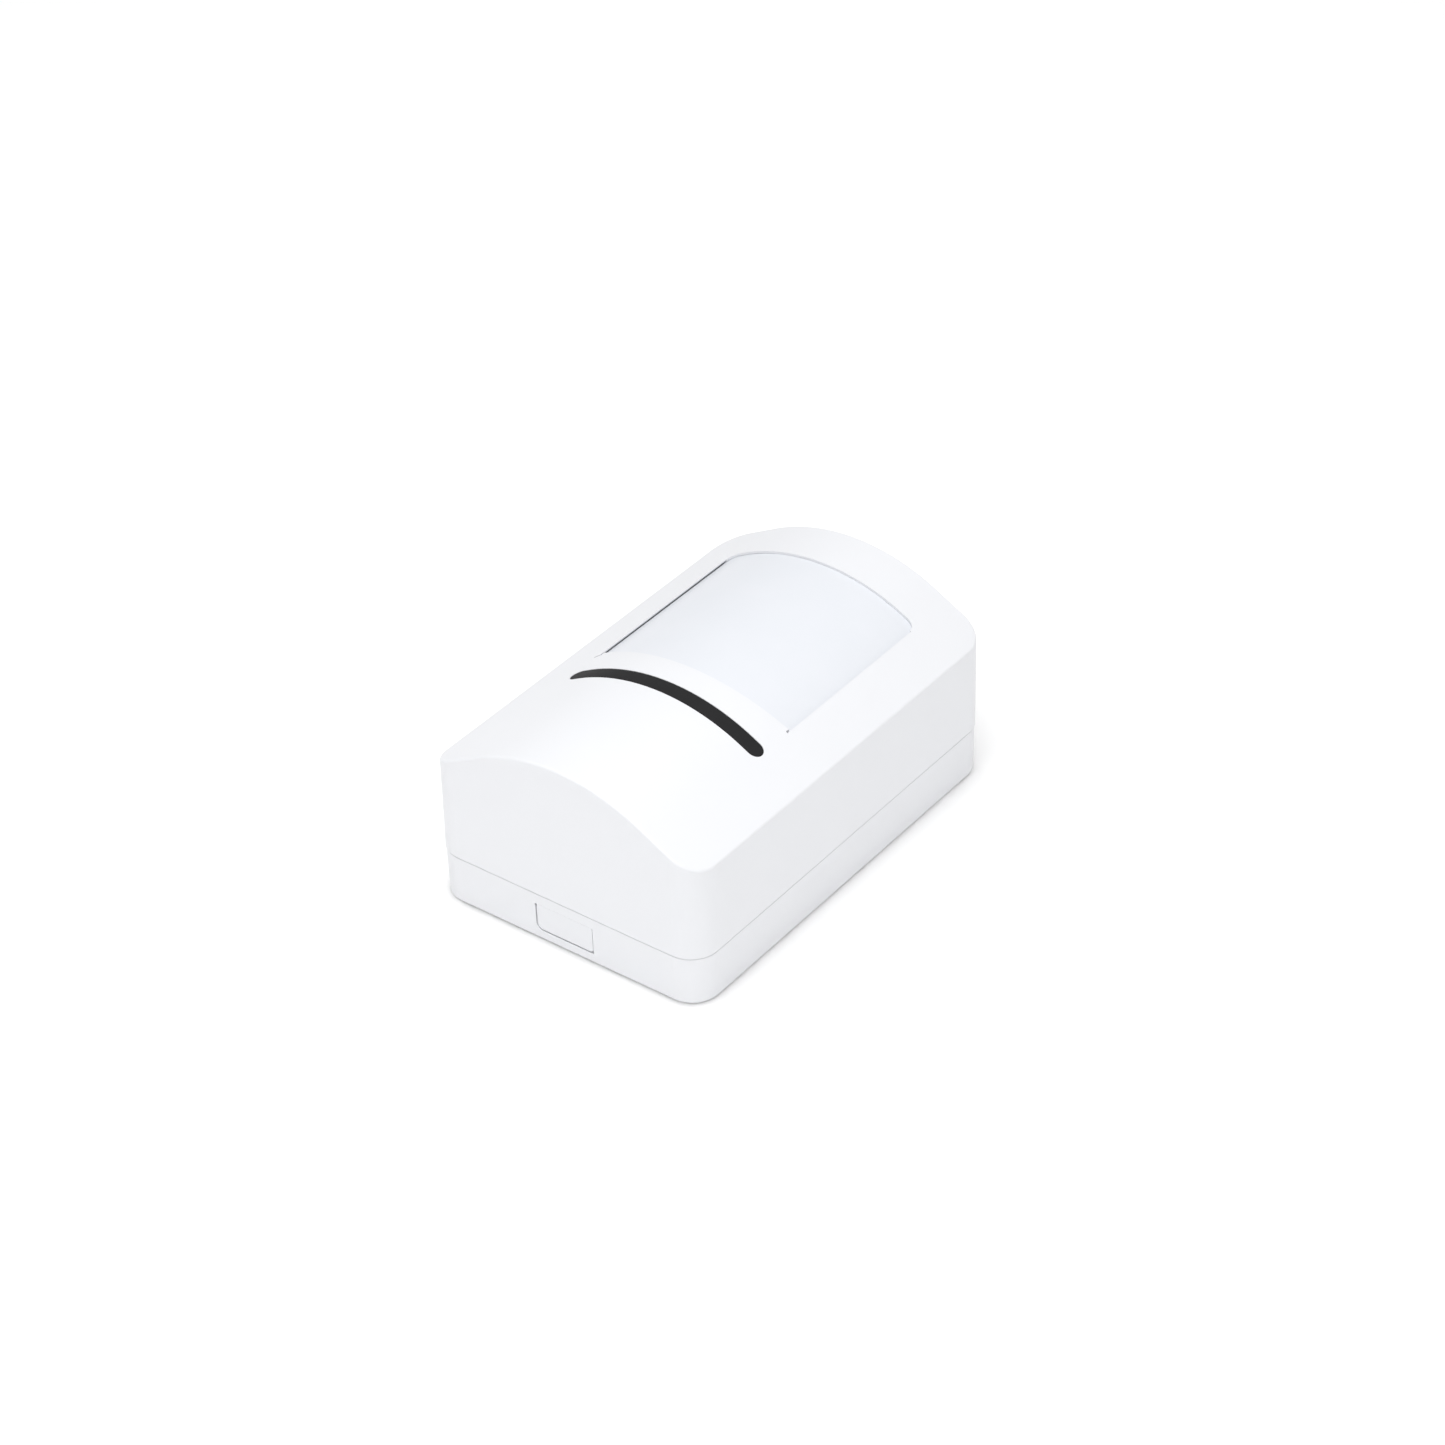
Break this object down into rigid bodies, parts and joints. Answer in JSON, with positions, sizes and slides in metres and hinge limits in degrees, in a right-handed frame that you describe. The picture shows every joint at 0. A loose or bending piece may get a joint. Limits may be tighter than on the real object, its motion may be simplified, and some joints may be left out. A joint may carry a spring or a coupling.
{
  "type": "motion sensor",
  "caption": "Wall-mount passive infrared motion detector: shallow tray, deep cover with arched front, curved lens, dark light strip, push-in release tab.",
  "frame": {"origin": "centre of the flat wall face (the underside as the detector lies on its back)", "axes": "+Z out of the front, +Y towards the lens end (the top on a wall), X across"},
  "size_m": [0.0698, 0.105, 0.0461],
  "materials": {
    "housing_abs": "fine moulded satin",
    "lens_hdpe": "smooth, milky, translucent",
    "frame_abs": "fine moulded satin",
    "smoked_polycarbonate": "smooth dark",
    "clear_acrylic": "clear, polished",
    "solder_mask": "green lacquer on glass epoxy",
    "zinc_steel": "zinc plated",
    "nickel_can": "nickel plated",
    "silicon_filter": "dark polished",
    "gold_lead": "gold flash",
    "white_ceramic": "fired, matt",
    "black_foam": "fine-celled",
    "black_epoxy": "moulded matt",
    "tinned_copper": "bright tin",
    "capacitor_can": "bright top, black sleeve",
    "tan_ceramic": "fired, matt",
    "relay_case": "moulded gloss",
    "lamp_resin": "milky resin",
    "black_nylon": "moulded matt",
    "plunger_acetal": "smooth",
    "trimmer_blue": "moulded matt",
    "terminal_green": "moulded satin",
    "terminal_brass": "plain",
    "jumper_blue": "moulded"
  },
  "bodies": {
    "root": {"rear_housing": "housing_abs", "circuit_board": "solder_mask", "board_screws": "zinc_steel", "sensor_can": "nickel_can", "sensor_filter": "silicon_filter", "sensor_header": "gold_lead", "sensor_element": "white_ceramic", "sensor_shroud": "black_foam", "controller_chip": "black_epoxy", "amplifier_chip": "black_epoxy", "chip_leads": "tinned_copper", "voltage_regulator": "black_epoxy", "electrolytic_capacitors": "capacitor_can", "chip_resistors": "black_epoxy", "chip_capacitors": "tan_ceramic", "protection_diodes": "black_epoxy", "quartz_crystal": "nickel_can", "alarm_relay": "relay_case", "status_leds": "lamp_resin", "tamper_switch": "black_nylon", "range_trimmer": "trimmer_blue", "jumper_headers": "black_nylon", "jumper_pins": "gold_lead", "terminal_block": "terminal_green", "terminal_clamps": "terminal_brass", "terminal_screws": "zinc_steel"},
    "cover": {"front_cover": "housing_abs", "fresnel_lens": "lens_hdpe", "lens_frame": "frame_abs", "led_window": "smoked_polycarbonate", "light_guide": "clear_acrylic"},
    "catch_arm": {"catch_arm": "housing_abs"},
    "release_tab": {"release_tab": "housing_abs"},
    "tamper_plunger": {"tamper_plunger": "plunger_acetal"},
    "trimmer_rotor": {"range_trimmer_rotor": "plunger_acetal"},
    "led_jumper": {"led_jumper_cap": "jumper_blue"},
    "pulse_jumper": {"pulse_jumper_cap": "jumper_blue"},
    "relay_jumper": {"relay_jumper_cap": "jumper_blue"}
  },
  "joints": [
    {"name": "cover_hinge", "type": "hinge", "parent": "root", "child": "cover", "pos_m": [0, 0.0525, 0.0119], "axis": [-1, 0, 0], "range_deg": [0, 60]},
    {"name": "release_tab_push", "type": "hinge", "parent": "root", "child": "release_tab", "pos_m": [0, -0.05231, 0.0092], "axis": [1, 0, 0], "range_deg": [0, 10], "stiffness_Nm_per_rad": 0.001},
    {"name": "catch_arm_flex", "type": "hinge", "parent": "cover", "child": "catch_arm", "pos_m": [0, -0.0492, 0.02], "axis": [1, 0, 0], "range_deg": [0, 3.7]},
    {"name": "tamper_plunger_rise", "type": "slide", "parent": "root", "child": "tamper_plunger", "axis": [0, 0, 1], "range_m": [0, 0.0015]},
    {"name": "range_trimmer_turn", "type": "hinge", "parent": "root", "child": "trimmer_rotor", "pos_m": [0.021, -0.022, 0.016], "axis": [0, 0, 1], "range_deg": [-135, 135]},
    {"name": "led_jumper_lift", "type": "slide", "parent": "root", "child": "led_jumper", "axis": [0, 0, 1], "range_m": [0, 0.007]},
    {"name": "pulse_jumper_lift", "type": "slide", "parent": "root", "child": "pulse_jumper", "axis": [0, 0, 1], "range_m": [0, 0.007]},
    {"name": "relay_jumper_lift", "type": "slide", "parent": "root", "child": "relay_jumper", "axis": [0, 0, 1], "range_m": [0, 0.007]}
  ],
  "couplings": [
    {"joint": "catch_arm_flex", "follows": "release_tab_push", "ratio": 0.36},
    {"joint": "tamper_plunger_rise", "follows": "cover_hinge", "m_per_rad": 0.0014}
  ]
}
